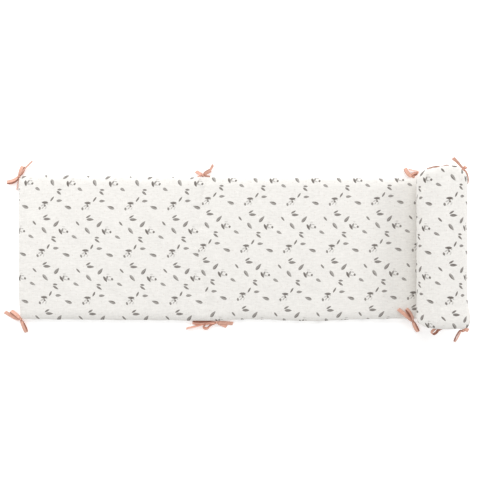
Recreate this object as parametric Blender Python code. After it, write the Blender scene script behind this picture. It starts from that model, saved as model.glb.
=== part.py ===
"""Padded crib bumper with ribbon ties, lying flat with its right end rolled up onto itself.

Units are metres, +Z is up and +X runs along the strip. The origin is on the flat underside, on the
strip's long axis, 640 mm from its left end. The strip is one filled pad: flat on the ground from its
left end to CONTACT, then wound up and over to the left in an open spiral. Its ends along Y are its two
long sewn edges, called upper (+Y) and lower (-Y). Ten ribbon ties are sewn into those edges.
"""

import math

import bmesh
import bpy
from mathutils import Vector

MM = 0.001
CLEARANCE = 0.3 * MM

# The padded strip
PAD_LENGTH = 1.800  # measured along the middle of its thickness
FLAT_LEFT = -0.640  # X of the flat end
CONTACT = 0.517  # X where the strip leaves the ground
FLAT_RUN = CONTACT - FLAT_LEFT
FLAT_THICKNESS = 0.023
ROLL_THICKNESS = 0.019  # a little squeezed by the winding
LAYER_GAP = 0.001
PITCH = ROLL_THICKNESS + LAYER_GAP
ROLL_RADIUS = 0.0770  # of the back face, where the strip leaves the ground
MIDDLE_RADIUS = ROLL_RADIUS - ROLL_THICKNESS / 2
SQUEEZE_FROM, SQUEEZE_TO = FLAT_RUN - 0.060, FLAT_RUN - 0.010

# Half widths of the strip: distance along it, its upper edge, its lower edge
EDGES = (
    (0.000, 0.203, 0.196),
    (0.060, 0.206, 0.197),
    (0.339, 0.202, 0.199),
    (0.520, 0.200, 0.201),
    (0.651, 0.198, 0.197),
    (0.827, 0.199, 0.202),
    (0.952, 0.198, 0.197),
    (1.064, 0.197, 0.195),
    (1.156, 0.198, 0.196),
    (1.256, 0.205, 0.209),
    (1.290, 0.208, 0.210),
    (1.330, 0.218, 0.210),
    (1.349, 0.218, 0.210),
    (1.400, 0.215, 0.209),
    (1.436, 0.209, 0.203),
    (1.520, 0.205, 0.204),
    (1.800, 0.205, 0.205),
)

# The section's edges and crown
SEAM_LIFT = 0.0098  # height of the sewn edge above the back face
TOP_ROUNDING = 0.028
FLAT_BACK_ROUNDING = 0.015
ROLL_BACK_ROUNDING = 0.024
CORNER = 0.012
BLUNT = 0.0004
CROWN = 0.08
PUFF = 0.0007  # height of the filling's soft lumps on the flat stretch
PUFF_ALONG, PUFF_ACROSS = 0.037, 0.045

# The sewn line across, where two lengths of the cover meet; it bows to the left
CROSS_SEAM = 0.502
TROUGH_DEPTH = 0.0055
TROUGH_REACH = 0.013
UPPER_BOW = 0.027
UPPER_BOW_POWER = 2.4
LOWER_BOW = 0.029
BOW_REACH = 0.130

# The outer turn stands out a little at its lower end, and the lower left corner lies further in
FLARE = 0.0065
FLARE_FROM, FLARE_TO = -0.130, -0.190
CORNER_SLANT = 0.005
SLANT_FROM, SLANT_TO = -0.130, -0.200
SLANT_REACH = 0.100

# Mesh steps
EDGE_STEPS = (BLUNT, 0.002, 0.006, 0.012, 0.020, 0.028)
FLAT_STEP = 0.048
SEAM_STEPS = (0.007, 0.017, 0.032)
TURN_STEP = math.radians(15)
WIDTH_STEPS = (0.002, 0.007, 0.015, 0.028, 0.075, 0.135)

# Ribbon ties: tape width and thickness, and the knot each one is drawn into
TAPE_WIDTH = 0.010
TAPE_THICKNESS = 0.0012
GATHERED = 0.45  # share of the width left inside a knot
GATHER_REACH = 0.009
KNOT_REACH = 0.0050
KNOT_RADII = (0.0048, 0.0044, 0.0038)
LOOP_STEPS = 10
LOOP_RISEN = 0.6  # share of a loop's length by which it has risen or sunk
LOOP_PARTED = 0.12  # share of its gape by which its two ends stand apart in the knot

# Each tie: name, distance along the strip, side, direction of the knot from the sewn edge in degrees
TIES = (
    ("tie_1_upper", 0.0035, 1, 130),
    ("tie_1_lower", 0.0035, -1, 232),
    ("tie_2_upper", 0.488, 1, 90),
    ("tie_2_lower", 0.526, -1, 270),
    ("tie_3_upper", 1.102, 1, 90),
    ("tie_3_lower", 1.100, -1, 270),
    ("tie_4_upper", 1.280, 1, 90),
    ("tie_4_lower", 1.302, -1, 270),
    ("tie_5_upper", 1.784, 1, 90),
    ("tie_5_lower", 1.784, -1, 270),
)

# Loops: tie, heading in degrees, length, gape, tilt (0 its layers lie stacked, 90 it stands on edge)
# and the rise of its far end, lengths in mm
LOOPS = (
    ("tie_1_upper", 68, 31, 8, 35, -3),
    ("tie_1_upper", 203, 36, 11, 40, -4),
    ("tie_1_lower", 127, 36, 10, 40, -4),
    ("tie_1_lower", -67, 36, 5, 55, -4),
    ("tie_2_upper", 33, 27, 5, 30, -2),
    ("tie_2_lower", 184, 64, 7, 45, -5),
    ("tie_2_lower", 209, 36, 9, 55, -3),
    ("tie_3_upper", 141, 31, 12, 65, -3),
    ("tie_3_upper", 72, 15, 8, 45, 0),
    ("tie_3_lower", 112, 37, 8, 20, 19),
    ("tie_3_lower", -65, 34, 5, 55, -4),
    ("tie_4_upper", 50, 10, 5, 30, 1),
    ("tie_4_lower", 243, 38, 5, 55, -4),
    ("tie_5_upper", 115, 17, 8, 40, -3),
    ("tie_5_lower", 212, 46, 11, 60, -10),
)

# Tails: tie, then points on the tail from the knot on, in mm, each with its lean in degrees
# (0 lies flat, 90 stands on edge)
TAILS = (
    ("tie_1_upper", (0, 0, 0, 60), (16, 22, -4, 80), (24, 31, -4, 80), (37, 44, -4, 80)),
    ("tie_1_upper", (0, 0, 0, 60), (-4, -12, -3, 60), (-6, -24, -4, 60), (-8, -35, -5, 60)),
    ("tie_1_lower", (0, 0, 0, 20), (-16, 5, -6, 5), (-32, 14, -8, 0), (-48, 22, -9, 0)),
    ("tie_2_upper", (0, 0, 0, 10), (-8, 4, -5, 5), (-20, 11, -9, 0)),
    ("tie_2_upper", (0, 0, 0, 20), (16, 12, -6, 10), (22, 19, -8, 5), (28, 30, -9, 0)),
    ("tie_2_upper", (0, 0, 0, 90), (8, -2, -4, 90), (20, -3, -4, 90)),
    ("tie_2_upper", (0, 0, 0, 90), (-7, -2, -4, 90), (-15, -3, -4, 90)),
    ("tie_2_lower", (0, 0, 0, 30), (-30, -2, -5, 30), (-57, -8, -6, 35), (-84, -18, -6, 45)),
    ("tie_2_lower", (0, 0, 0, 10), (14, -7, -6, 0), (28, -15, -9, 0)),
    ("tie_2_lower", (0, 0, 0, 10), (16, 0, -5, 5), (30, -1, -6, 10), (47, -3, -8, 10)),
    ("tie_3_upper", (0, 0, 0, 60), (8, 9, -1, 80), (4, 16, 0, 85), (-5, 19, 0, 85), (-14, 20, -1, 85)),
    ("tie_3_lower", (0, 0, 0, 20), (-6, 3, 10, 10), (-13, 9, 15, 10), (-26, 21, 17, 0), (-40, 32, 17, 0)),
    ("tie_4_upper", (0, 0, 0, 50), (-9, 11, 2, 50), (-18, 21, 2, 25), (-28, 32, -1, 5)),
    ("tie_4_upper", (0, 0, 0, 60), (10, -4, 1, 70), (17, -16, -6, 85), (19, -36, -14, 85)),
    ("tie_4_lower", (0, 0, 0, 20), (8, 0, 1, 15), (17, -3, 0, 10)),
    ("tie_5_upper", (0, 0, 0, 20), (-20, 8, -4, 20), (-36, 11, -6, 25), (-49, 11, -8, 25)),
)


def remove_everything():
    for item in list(bpy.data.objects):
        bpy.data.objects.remove(item, do_unlink=True)


def material(name, colour, roughness):
    made = bpy.data.materials.new(name)
    made.use_nodes = True
    shader = made.node_tree.nodes["Principled BSDF"]
    shader.inputs["Base Color"].default_value = (*colour, 1.0)
    shader.inputs["Roughness"].default_value = roughness
    shader.inputs["Metallic"].default_value = 0.0
    return made


def new_object(name, mesh_data, surface):
    """Object from a bmesh, which is freed."""
    bmesh.ops.recalc_face_normals(mesh_data, faces=mesh_data.faces)
    mesh = bpy.data.meshes.new(name)
    mesh_data.to_mesh(mesh)
    mesh_data.free()
    mesh.materials.append(surface)
    made = bpy.data.objects.new(name, mesh)
    bpy.context.scene.collection.objects.link(made)
    return made


def eased(share):
    """0 to 1 with a soft start and end."""
    share = min(max(share, 0.0), 1.0)
    return share * share * (3.0 - 2.0 * share)


def read_table(rows, where, column):
    """Value of a column between two rows of a table, eased from row to row."""
    for row, after in zip(rows, rows[1:]):
        if where <= after[0]:
            share = eased((where - row[0]) / (after[0] - row[0]))
            return row[column] + (after[column] - row[column]) * share
    return rows[-1][column]


# The strip's path


def turn_at(run):
    """Angle that the strip has turned through at a distance along it, 0 where it lies flat."""
    beyond = max(run - FLAT_RUN, 0.0)
    inner = math.sqrt(MIDDLE_RADIUS**2 - PITCH * beyond / math.pi)
    return (MIDDLE_RADIUS - inner) * math.tau / PITCH


def run_at(turn):
    """Distance along the strip at an angle of the roll."""
    return FLAT_RUN + MIDDLE_RADIUS * turn - PITCH * turn**2 / (2 * math.tau)


def flare(turn, side_place):
    """How far the outer turn stands out near its lower end, most at its right side."""
    around = max(math.sin(turn), 0.0) ** 2 if turn < math.pi else 0.0
    return FLARE * around * eased((side_place - FLARE_FROM) / (FLARE_TO - FLARE_FROM))


def place(run, side_place, lift):
    """Point at a distance along the strip, a place across it and a height above its back face."""
    turn = turn_at(run)
    if turn == 0.0:
        return Vector((FLAT_LEFT + run, side_place, lift))
    radius = ROLL_RADIUS - PITCH * turn / math.tau - lift + flare(turn, side_place)
    return Vector(
        (CONTACT + radius * math.sin(turn), side_place, ROLL_RADIUS - radius * math.cos(turn))
    )


# The strip's section


def half_width(run, side):
    """Distance of a long sewn edge from the middle, drawn in round the corners."""
    width = read_table(EDGES, run, 1 if side > 0 else 2)
    from_end = min(run, PAD_LENGTH - run)
    if from_end < CORNER:
        short = 1.0 - from_end / CORNER
        width -= CORNER * (1.0 - math.sqrt(1.0 - short * short))
    return width


def blend(flat_value, roll_value, run):
    """Between the flat stretch's value and the roll's, changing where the roll weighs on the strip."""
    share = eased((run - SQUEEZE_FROM) / (SQUEEZE_TO - SQUEEZE_FROM))
    return flat_value + (roll_value - flat_value) * share


def bow(across):
    """How far the cross seam lies right of its leftmost point; across is -1 to 1."""
    if across > 0:
        return UPPER_BOW * across**UPPER_BOW_POWER
    return LOWER_BOW * eased(-across)


def bulge(distance, rounding):
    """Share of the full height at a distance from a sewn edge: a quarter of an ellipse."""
    short = 1.0 - min(distance / rounding, 1.0)
    return math.sqrt(1.0 - short * short)


def section(run, side_place, across, from_edge):
    """The back and the top of the pad, as two points."""
    from_end = max(min(run, PAD_LENGTH - run), BLUNT)
    back_rounding = blend(FLAT_BACK_ROUNDING, ROLL_BACK_ROUNDING, run)
    full = blend(FLAT_THICKNESS, ROLL_THICKNESS, run) * (1.0 - CROWN * across**2)
    full += blend(PUFF, 0.0, run) * math.sin(run / PUFF_ALONG) * math.cos(side_place / PUFF_ACROSS)
    full -= TROUGH_DEPTH * math.exp(-abs(run - CROSS_SEAM) / TROUGH_REACH)
    top_share = bulge(from_edge, TOP_ROUNDING) * bulge(from_end, TOP_ROUNDING)
    back_share = bulge(from_edge, back_rounding) * bulge(from_end, back_rounding)
    near = max(1.0 - abs(run - CROSS_SEAM) / BOW_REACH, 0.0)
    slant = eased((side_place - SLANT_FROM) / (SLANT_TO - SLANT_FROM))
    slant *= eased(1.0 - run / SLANT_REACH)
    shifted = run + bow(across) * eased(near) + CORNER_SLANT * slant
    back = place(shifted, side_place, SEAM_LIFT * (1.0 - back_share))
    top = place(shifted, side_place, SEAM_LIFT + (full - SEAM_LIFT) * top_share)
    return back, top


def pad_stations():
    """Distances along the strip at which its section is drawn."""
    runs = set(EDGE_STEPS)
    runs.update(PAD_LENGTH - step for step in EDGE_STEPS)
    runs.add(CROSS_SEAM)
    for step in SEAM_STEPS:
        runs.update((CROSS_SEAM - step, CROSS_SEAM + step))
    count = int((SQUEEZE_FROM - EDGE_STEPS[-1]) / FLAT_STEP)
    for index in range(1, count):
        run = EDGE_STEPS[-1] + index * (SQUEEZE_FROM - EDGE_STEPS[-1]) / count
        if abs(run - CROSS_SEAM) > SEAM_STEPS[-1] + FLAT_STEP / 4:
            runs.add(run)
    squeeze = SQUEEZE_TO - SQUEEZE_FROM
    runs.update(SQUEEZE_FROM + squeeze * index / 4 for index in range(5))
    runs.add(FLAT_RUN)
    turn = TURN_STEP
    while run_at(turn) < PAD_LENGTH - EDGE_STEPS[-1] - EDGE_STEPS[1]:
        runs.add(run_at(turn))
        turn += TURN_STEP
    return sorted(runs)


def edge_point(run, side):
    """Point on a long sewn edge, on the straight line between two stations."""
    runs = pad_stations()
    last = next(index for index, station in enumerate(runs) if station >= run)
    ends = []
    for station in runs[max(last - 1, 0) : last + 1]:
        ends.append(section(station, side * half_width(station, side), side, 0.0)[0])
    if len(ends) == 1:
        return ends[0]
    share = (run - runs[last - 1]) / (runs[last] - runs[last - 1])
    return ends[0].lerp(ends[1], share)


def pad_rings():
    """For each station, its top points and its back points from the upper edge to the lower one."""
    rings = []
    for run in pad_stations():
        top, back = [], []
        for side, steps in ((1, (0.0, *WIDTH_STEPS, None)), (-1, (*reversed(WIDTH_STEPS), 0.0))):
            width = half_width(run, side)
            for step in steps:
                from_edge = width if step is None else step
                side_place = side * (width - from_edge)
                under, over = section(run, side_place, side_place / width, from_edge)
                back.append(under)
                top.append(over)
        rings.append((top, back))
    return rings


def build_pad(surface):
    mesh = bmesh.new()
    rows = []
    for top, back in pad_rings():
        over = [mesh.verts.new(point) for point in top]
        under = [mesh.verts.new(point) for point in back[1:-1]]
        rows.append((over, [over[0], *under, over[-1]]))
    for (over, under), (next_over, next_under) in zip(rows, rows[1:]):
        for index in range(len(over) - 1):
            mesh.faces.new((over[index], over[index + 1], next_over[index + 1], next_over[index]))
            mesh.faces.new((under[index + 1], under[index], next_under[index], next_under[index + 1]))
    for over, under in (rows[0], rows[-1]):
        for index in range(len(over) - 1):
            corners = dict.fromkeys((over[index], over[index + 1], under[index + 1], under[index]))
            mesh.faces.new(tuple(corners))
    pad = new_object("bumper", mesh, surface)
    pad.data.shade_smooth()
    return pad


# The ribbon ties


def tape_width(along, whole, both_ends):
    """Width of the tape, gathered where it enters a knot."""
    from_knot = min(along, whole - along) if both_ends else along
    return TAPE_WIDTH * (GATHERED + (1.0 - GATHERED) * eased(from_knot / GATHER_REACH))


def tape(name, points, across, both_ends, surface):
    """A strip of tape through points, with its width along the directions in across, off the ground."""
    runs = [0.0]
    for point, after in zip(points, points[1:]):
        runs.append(runs[-1] + (after - point).length)
    mesh = bmesh.new()
    rings = []
    for index, point in enumerate(points):
        tangent = (points[min(index + 1, len(points) - 1)] - points[max(index - 1, 0)]).normalized()
        side = across[index] - tangent * across[index].dot(tangent)
        side = side.normalized() * tape_width(runs[index], runs[-1], both_ends) / 2
        up = side.cross(tangent).normalized() * TAPE_THICKNESS / 2
        corners = [point + side + up, point - side + up, point - side - up, point + side - up]
        raise_by = max(CLEARANCE - min(corner.z for corner in corners), 0.0)
        rings.append([mesh.verts.new(corner + Vector((0, 0, raise_by))) for corner in corners])
    for ring, after in zip(rings, rings[1:]):
        for index in range(4):
            other = (index + 1) % 4
            mesh.faces.new((ring[index], ring[other], after[other], after[index]))
    mesh.faces.new(rings[0])
    mesh.faces.new(rings[-1])
    return new_object(name, mesh, surface)


def loop_line(centre, heading, length, gape, tilt, rise):
    """Points of a loop that leaves the knot and comes back to it, and its width direction."""
    forward = Vector((math.cos(heading), math.sin(heading), 0.0))
    beside = Vector((-math.sin(heading), math.cos(heading), 0.0))
    open_way = Vector((0, 0, math.cos(tilt))) + beside * math.sin(tilt)
    points = []
    for index in range(LOOP_STEPS + 1):
        share = index / LOOP_STEPS
        out = math.sin(math.pi * share)
        apart = math.sin(math.tau * share) * gape / 2
        apart += gape * LOOP_PARTED * (0.5 - share)
        up = Vector((0, 0, rise * math.sin(math.pi / 2 * min(out / LOOP_RISEN, 1.0))))
        points.append(centre + forward * length * out + open_way * apart + up)
    return points, [forward.cross(open_way)] * len(points)


def tail_line(centre, bends):
    """Points of a tail through its bends, with one point halfway between two, and width directions."""
    spots = [centre + Vector(bend[:3]) * MM for bend in bends]
    leans = [math.radians(bend[3]) for bend in bends]
    points, across = [], []
    last = len(spots) - 1
    for index in range(2 * last + 1):
        here, halfway = divmod(index, 2)
        after = here + halfway
        before, beyond = spots[max(here - 1, 0)], spots[min(after + 1, last)]
        point = (spots[here] + spots[after]) / 2
        if halfway:
            point += (spots[here] + spots[after] - before - beyond) / 16
            ahead = spots[after] - spots[here]
        else:
            ahead = beyond - before
        level = Vector((-ahead.y, ahead.x, 0.0)).normalized()
        lean = (leans[here] + leans[after]) / 2
        points.append(point)
        across.append(level * math.cos(lean) + Vector((0, 0, math.sin(lean))))
    return points, across


def build_tie(name, run, side, bearing, surface):
    """One tie: the tape's root at the sewn edge, the knot, its loops and its tails, in one solid."""
    root = edge_point(run, side)
    bearing = math.radians(bearing)
    outward = Vector((math.cos(bearing), math.sin(bearing), 0.0))
    centre = root + outward * KNOT_REACH
    mesh = bmesh.new()
    bmesh.ops.create_icosphere(mesh, subdivisions=2, radius=1.0)
    for vert in mesh.verts:
        vert.co = Vector([value * size for value, size in zip(vert.co, KNOT_RADII)]) + centre
    knot = new_object(name, mesh, surface)
    knot.data.shade_smooth()
    strips = []
    turn = turn_at(run)
    along_edge = outward.cross(Vector((-math.sin(turn), 0.0, math.cos(turn))))
    strips.append(("root", [root + outward * CLEARANCE, centre], [along_edge] * 2, False))
    for tie, heading, length, gape, tilt, rise in LOOPS:
        if tie == name:
            sizes = (length * MM, gape * MM, math.radians(tilt), rise * MM)
            points, across = loop_line(centre, math.radians(heading), *sizes)
            strips.append(("loop", points, across, True))
    for tie, *bends in TAILS:
        if tie == name:
            points, across = tail_line(centre, bends)
            strips.append(("tail", points, across, False))
    for number, (kind, points, across, both_ends) in enumerate(strips):
        strip = tape(f"{name}.{kind}.{number}", points, across, both_ends, surface)
        strip.hide_render = True
        strip.display_type = "WIRE"
        joined = knot.modifiers.new(f"join {number}", "BOOLEAN")
        joined.operation = "UNION"
        joined.use_self = True
        joined.object = strip
    return knot


def main():
    remove_everything()
    cover = material("printed gauze", (0.93, 0.92, 0.89), 0.9)
    ribbon = material("salmon ribbon", (0.80, 0.42, 0.31), 0.6)
    build_pad(cover)
    for name, run, side, bearing in TIES:
        build_tie(name, run, side, bearing, ribbon)


main()
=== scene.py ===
"""Looks of the padded crib bumper: printed gauze cover, ribbon ties, floor, light and camera.

Units are metres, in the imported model's frame: +X runs along the strip, +Y across it and +Z up. The strip
lies flat from its left end to CONTACT and is wound from there up and over to the left. The cover and each
tie are drawn again here with finer shapes and stand for their solids. The loops and tails lie up to 10 mm
off the solids' ones.
"""

import math

import bpy
import numpy as np
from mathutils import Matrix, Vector


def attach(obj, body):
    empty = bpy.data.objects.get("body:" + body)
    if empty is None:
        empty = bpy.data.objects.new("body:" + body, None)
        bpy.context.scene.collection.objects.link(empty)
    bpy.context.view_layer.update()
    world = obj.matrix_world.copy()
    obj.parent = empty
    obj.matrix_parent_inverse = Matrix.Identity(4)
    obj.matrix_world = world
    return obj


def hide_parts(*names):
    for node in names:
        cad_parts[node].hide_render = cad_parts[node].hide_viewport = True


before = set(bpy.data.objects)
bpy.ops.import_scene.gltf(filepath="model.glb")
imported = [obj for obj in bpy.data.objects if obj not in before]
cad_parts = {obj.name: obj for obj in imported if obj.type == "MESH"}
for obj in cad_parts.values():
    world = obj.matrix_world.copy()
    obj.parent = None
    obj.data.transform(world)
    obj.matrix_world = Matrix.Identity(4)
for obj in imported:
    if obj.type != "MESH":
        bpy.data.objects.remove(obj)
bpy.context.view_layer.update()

MM = 0.001
CLEARANCE = 0.3 * MM
NEARLY = 1e-6

# The padded strip, as in the solids
PAD_LENGTH = 1.800
FLAT_LEFT = -0.640
CONTACT = 0.517
FLAT_RUN = CONTACT - FLAT_LEFT
FLAT_THICKNESS = 0.023
ROLL_THICKNESS = 0.019
LAYER_GAP = 0.001
PITCH = ROLL_THICKNESS + LAYER_GAP
ROLL_RADIUS = 0.0770
MIDDLE_RADIUS = ROLL_RADIUS - ROLL_THICKNESS / 2
SQUEEZE_FROM, SQUEEZE_TO = FLAT_RUN - 0.060, FLAT_RUN - 0.010

# Half widths of the strip: distance along it, its upper edge (at 1.400 and 1.436 the solid's is 4 mm more),
# its lower edge
EDGES = (
    (0.000, 0.203, 0.196),
    (0.060, 0.206, 0.197),
    (0.339, 0.202, 0.199),
    (0.520, 0.200, 0.201),
    (0.651, 0.198, 0.197),
    (0.827, 0.199, 0.202),
    (0.952, 0.198, 0.197),
    (1.064, 0.197, 0.195),
    (1.156, 0.198, 0.196),
    (1.256, 0.205, 0.209),
    (1.290, 0.208, 0.210),
    (1.330, 0.218, 0.210),
    (1.349, 0.218, 0.210),
    (1.400, 0.211, 0.209),
    (1.436, 0.205, 0.203),
    (1.520, 0.205, 0.204),
    (1.800, 0.205, 0.205),
)

# The section's edges and crown
SEAM_LIFT = 0.0098
TOP_ROUNDING = 0.028
FLAT_BACK_ROUNDING = 0.015
ROLL_BACK_ROUNDING = 0.024
CORNER = 0.012
CROWN = 0.08
PUFF = 0.0007
PUFF_ALONG, PUFF_ACROSS = 0.037, 0.045

# The sewn line across, where two lengths of the cover meet; it bows to the left
CROSS_SEAM = 0.502
TROUGH_DEPTH = 0.0055
TROUGH_REACH = 0.013
UPPER_BOW = 0.027
UPPER_BOW_POWER = 2.4
LOWER_BOW = 0.029
BOW_REACH = 0.130

# The outer turn stands out at its lower end, 2 mm more than in the solid, and the lower left corner lies
# further in
FLARE = 0.0085
FLARE_FROM, FLARE_TO = -0.130, -0.190
CORNER_SLANT = 0.005
SLANT_FROM, SLANT_TO = -0.130, -0.200
SLANT_REACH = 0.100

# Fine shapes of the cover. Waves are wavelength, height and phase, and a shift keeps two rows of them apart.
LUMPS_ALONG = ((0.071, 0.30 * MM, 0.4), (0.118, 0.40 * MM, 2.1), (0.183, 0.30 * MM, 4.4))
LUMPS_ACROSS = ((0.064, 0.5, 1.1), (0.109, 0.7, 3.0))
LUMP_SLANT = 0.6
LUMP_MEAN = 0.5
PUCKERS = ((0.0183, 0.36 * MM, 0.0), (0.0261, 0.34 * MM, 1.7), (0.0437, 0.30 * MM, 3.9))
PUCKER_REACH = 0.007
PUCKER_SIDE_SHIFT, PUCKER_FACE_SHIFT = 0.31, 0.17
PUCKER_END_SHIFT, PUCKER_SEAM_SHIFT = 0.13, 0.23
CROSS_SEAM_PUCKERS = 1.2
EDGE_WANDER = ((0.057, 0.30 * MM, 0.9), (0.091, 0.35 * MM, 2.6))
WANDER_SHIFT = 0.21
DENT_TURN, DENT_WIDTH, DENT_DEPTH = math.radians(205), math.radians(11), 0.0016
CREASE_PLACE, CREASE_WIDTH, CREASE_DEPTH = -0.150, 0.004, 0.0012
CREASE_FROM, CREASE_TO = math.radians(95), math.radians(215)
CREASE_FADE = 0.3

# Where the fine shapes are weak: inside the roll, where the back rests, and near a sewn line
INSIDE_LOSS = 0.8
RESTING_SHARE = 0.25
LOSS_TURN = 0.5
COVERED_TURN = math.radians(280)
CALM_REACH = 0.030

# Mesh steps of the cover
EDGE_STEPS = (0.0, 0.0006, 0.0014, 0.0027, 0.0045, 0.0068, 0.0096, 0.013, 0.017, 0.0215, 0.0265)
SEAM_STEPS = (0.0008, 0.0018, 0.0032, 0.0052, 0.008)
ALONG_STEP = 0.0048
ACROSS_STEP = 0.0052
USUAL_HALF_WIDTH = 0.2

# The cover's map for baking: its top and then its back, cut into rows
SHEET_ROWS = 3
SHEET_ROW = 1.2
SHEET_ROW_WIDTH = 0.45
SHEET_MARGIN = 0.012

# Ribbon ties, of thinner tape than the solids. The tape is cupped along its length. At a knot it is
# pleated and drawn in to GATHERED of its width, and painted shade darkens it there. A loop's layers are
# parted at the knot by a share of its gape.
TAPE_WIDTH = 0.010
TAPE_THICKNESS = 0.0006
TAPE_COLUMNS = (-1.0, -0.9, -0.62, -0.31, 0.0, 0.31, 0.62, 0.9, 1.0)
THIN_EDGE = 0.6
GATHERED = 0.45
GATHER_REACH = 0.009
PLEAT, PLEAT_TURNS = 0.9 * MM, 1.5
CUP, CUP_LENGTH, CUP_MEAN = 0.35 * MM, 0.011, 0.4
CUT_SLANT, CUT_REACH = 0.9 * MM, 0.006
LOOP_STEPS = 36
LOOP_PARTED = 0.12
LOOP_AHEAD = 0.02
# How much painted shade darkens the inner face of a loop and of a tail that comes back to the knot
LOOP_INSIDE_SHADE, CLOSED_TAIL_INSIDE_SHADE = 0.6, 0.35
TAIL_STEPS = 9

# Their knots: barrels with slanted folds round them
KNOT_REACH = 0.0050
KNOT_HALF_LENGTH = 0.0040
KNOT_WIDE, KNOT_HIGH = 0.0039, 0.0033
KNOT_ROWS, KNOT_STEPS = 20, 36
KNOT_FLATNESS, KNOT_ROUNDNESS = 3.0, 0.45
KNOT_FOLD, KNOT_FOLDS, KNOT_FOLD_SLANT, KNOT_FOLD_TURN = 0.05, 3.0, 1.6, 0.7
KNOT_SKEW, KNOT_SKEW_TURN = 0.12, 1.0

# Each tie: name, distance along the strip, side, direction of the knot from the sewn edge in degrees
TIES = (
    ("tie_1_upper", 0.0035, 1, 130),
    ("tie_1_lower", 0.0035, -1, 232),
    ("tie_2_upper", 0.488, 1, 90),
    ("tie_2_lower", 0.526, -1, 270),
    ("tie_3_upper", 1.102, 1, 90),
    ("tie_3_lower", 1.100, -1, 270),
    ("tie_4_upper", 1.280, 1, 90),
    ("tie_4_lower", 1.302, -1, 270),
    ("tie_5_upper", 1.784, 1, 90),
    ("tie_5_lower", 1.784, -1, 270),
)

# Loops: tie, gape in mm, tilt in degrees (0 its layers lie stacked, 90 they stand side by side; the upper one
# lies left of the way out, or right of it if the tilt is negative), then points of its middle line from the
# knot out, in mm
LOOPS = (
    ("tie_1_upper", 10, 16, (6, 13, -2), (11, 28, -3)),
    ("tie_1_upper", 7, -32, (-9, -9, -3), (-21, -15, -4), (-35, -16.5, -4)),
    ("tie_1_lower", 7, -38, (-13, 11.5, -2), (-29, 23, -4)),
    ("tie_1_lower", 6, -22, (7, -18, -3), (14.5, -36.5, -4)),
    ("tie_2_upper", 4, -35, (11.5, 8.5, -1), (22, 14, -2)),
    ("tie_2_lower", 8, 45, (-22, -1, -4), (-45, -1.5, -5), (-68, -1, -5)),
    ("tie_3_upper", 8, 8, (-9, 3, -1), (-17, 12, -3), (-22.5, 23, -3)),
    ("tie_3_upper", 6, 58, (-2, 4, 0), (9, 9.5, 0)),
    ("tie_3_lower", 7, -42, (-4, 8, 10), (-12, 21, 17), (-22, 35, 19)),
    ("tie_3_lower", 7, -50, (7, -14, -3), (16, -31.5, -4)),
    ("tie_4_upper", 4, 30, (3.5, 4.5, 1), (6, 7.5, 1)),
    ("tie_4_lower", 5, 50, (-8, -2, 0), (-14.5, -14, -2), (-21.5, -30, -5)),
    ("tie_5_upper", 6, 40, (-2, 6, -1), (-5, 11, -3)),
    ("tie_5_lower", 13, -61, (-22.5, -7, -4), (-30, -14, -8), (-38, -22, -10)),
)

# Tails: tie, then points on the tail from the knot on, in mm, each with its lean in degrees (0 lies flat,
# 90 stands on edge). A tail that comes back to the knot is one more loop.
TAILS = (
    ("tie_1_upper", (0, 0, 0, 60), (14, 20, -3, 80), (24, 30.5, -4, 84), (36, 43, -4, 84)),
    ("tie_1_upper", (0, 0, 0, 60), (-3, -13, -4, 60), (-6, -26, -5, 55), (-8.5, -37.5, -6, 55)),
    ("tie_1_lower", (0, 0, 0, 20), (-16, 3, -6, 5), (-32, 11, -8, 0), (-47.5, 20, -9, 0)),
    ("tie_2_upper", (0, 0, 0, 10), (-9, 5, -4, 20), (-20, 12, -7, 26)),
    ("tie_2_upper", (0, 0, 0, 40), (15, 11, -6, 50), (21.5, 18, -8, 58), (28, 30, -9, 52)),
    ("tie_2_upper", (0, 0, 0, 70), (8, -1.5, -5, 65), (20, -3, -6, 72)),
    ("tie_2_upper", (0, 0, 0, 70), (-7, -1.5, -5, 65), (-16, -3, -6, 72)),
    ("tie_2_lower", (0, 0, 0, 40), (-32, -4, -5, 60), (-58, -10.5, -6, 62), (-85.5, -17.6, -6, 62)),
    ("tie_2_lower", (0, 0, 0, 10), (14, -6, -6, 0), (28, -12.5, -9, 0)),
    ("tie_2_lower", (0, 0, 0, 10), (16, -1, -5, 5), (30, -2, -6, 10), (45.5, -4, -8, 10)),
    (
        "tie_2_lower",
        (0, 0, 0, 40), (-13, -5, -4, 55), (-21, -11.5, -6, 60), (-27, -17, -6, 50), (-34, -17, -6, 50),
        (-36.5, -11, -6, 60), (-28, -4, -6, 60), (-13, -1, -5, 55), (0, 0, 0, 40),
    ),
    (
        "tie_3_upper",
        (0, 0, 0, 60), (9, 8, -1, 30), (14, 14, 0, 62), (3, 16, 0, 62), (-5, 18, 0, 62), (-13, 20, -1, 62),
    ),
    (
        "tie_3_lower",
        (0, 0, 0, 20), (-7, 4, 10, 10), (-16, 10.5, 15, 10), (-30, 22.5, 17, 0), (-44, 34, 17, 0),
    ),
    ("tie_4_upper", (0, 0, 0, -70), (-8, 9, 2, -72), (-17, 19, 2, -62), (-28, 30.5, -1, -42)),
    (
        "tie_4_upper",
        (0, 0, 0, 60), (5.3, -8.5, 1, 62), (10, -19, -3, 62), (13, -28.5, -9, 64), (13.3, -36.5, -13, 66),
    ),
    ("tie_4_lower", (0, 0, 0, 20), (6, 2.5, 1, 15), (14.5, 1, 0, 12)),
    ("tie_5_upper", (0, 0, 0, 20), (-18, 8, -3, -20), (-31, 12.4, -5, -70), (-53, 6.5, -7, -70)),
    (
        "tie_5_upper",
        (0, 0, 0, 30), (5, 9, -1, -30), (1, 15.5, -2, -70), (-8, 13.5, -3, -70), (-19, 10.5, -4, -70),
    ),
)

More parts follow.
